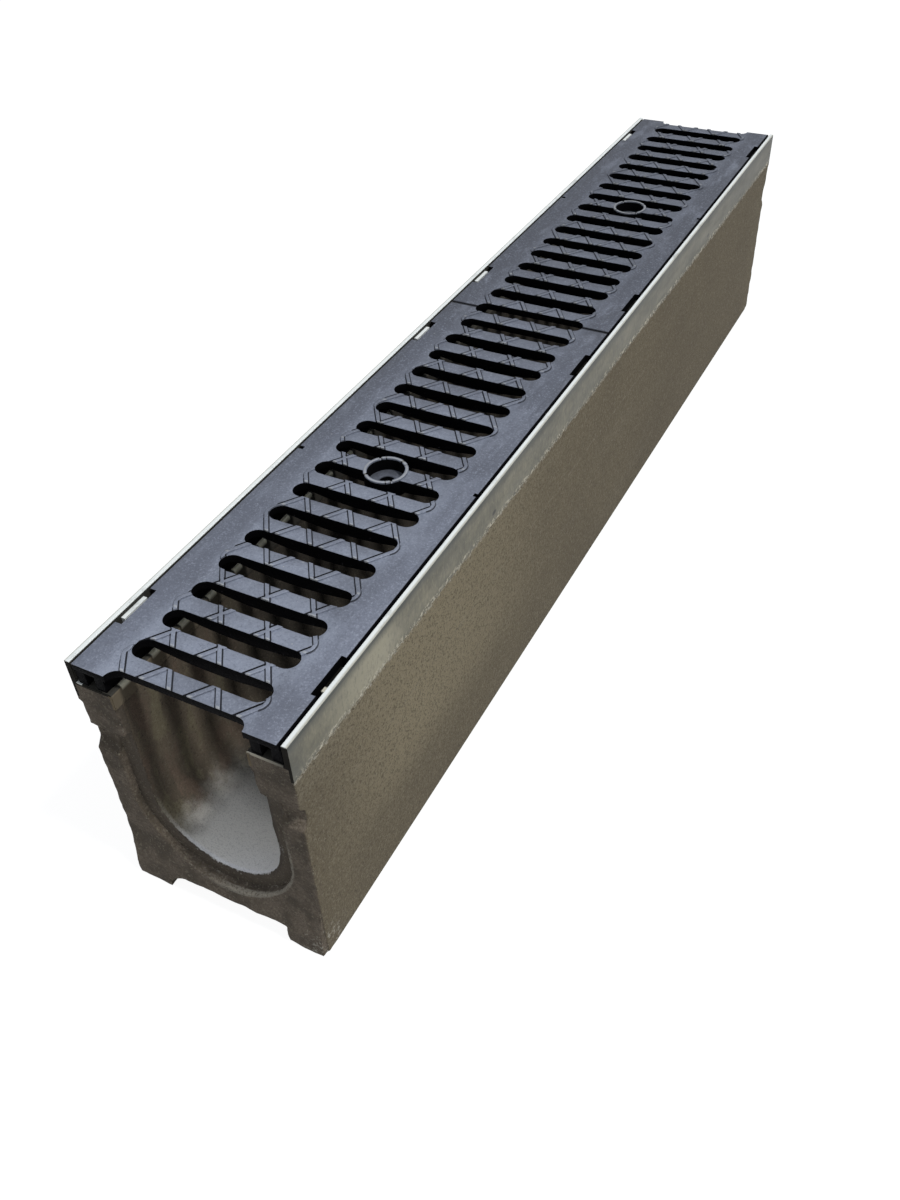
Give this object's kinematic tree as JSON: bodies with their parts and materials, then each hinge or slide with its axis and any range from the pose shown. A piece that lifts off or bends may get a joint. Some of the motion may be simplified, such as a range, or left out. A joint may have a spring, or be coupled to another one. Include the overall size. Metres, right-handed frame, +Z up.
{
  "type": "concrete drainage channel",
  "caption": "Linear surface drain of pale grey fibre concrete with a half-round trough, folded galvanised edge rails and slotted cast iron gratings that lift out.",
  "frame": {"origin": "middle of the outer box at bed level, under the runners", "axes": "+Z up, +Y along the channel from the near (rebated) end to the far (tongued) end, +X across the channel"},
  "size_m": [0.16, 1.01, 0.213],
  "materials": {
    "concrete": "fibre concrete cast face down in a steel mould: smooth skin with small air pores, chipped arrises and rough ends",
    "galvanised_steel": "hot-dip galvanised strip, dull zinc grey with pale cement spatter",
    "cast_iron": "sand-cast ductile iron with a satin blue-grey dip coating"
  },
  "bodies": {
    "root": {"channel_body": "concrete", "edge_rail_left": "galvanised_steel", "edge_rail_right": "galvanised_steel", "grating_near": "cast_iron", "grating_far": "cast_iron"}
  },
  "joints": []
}
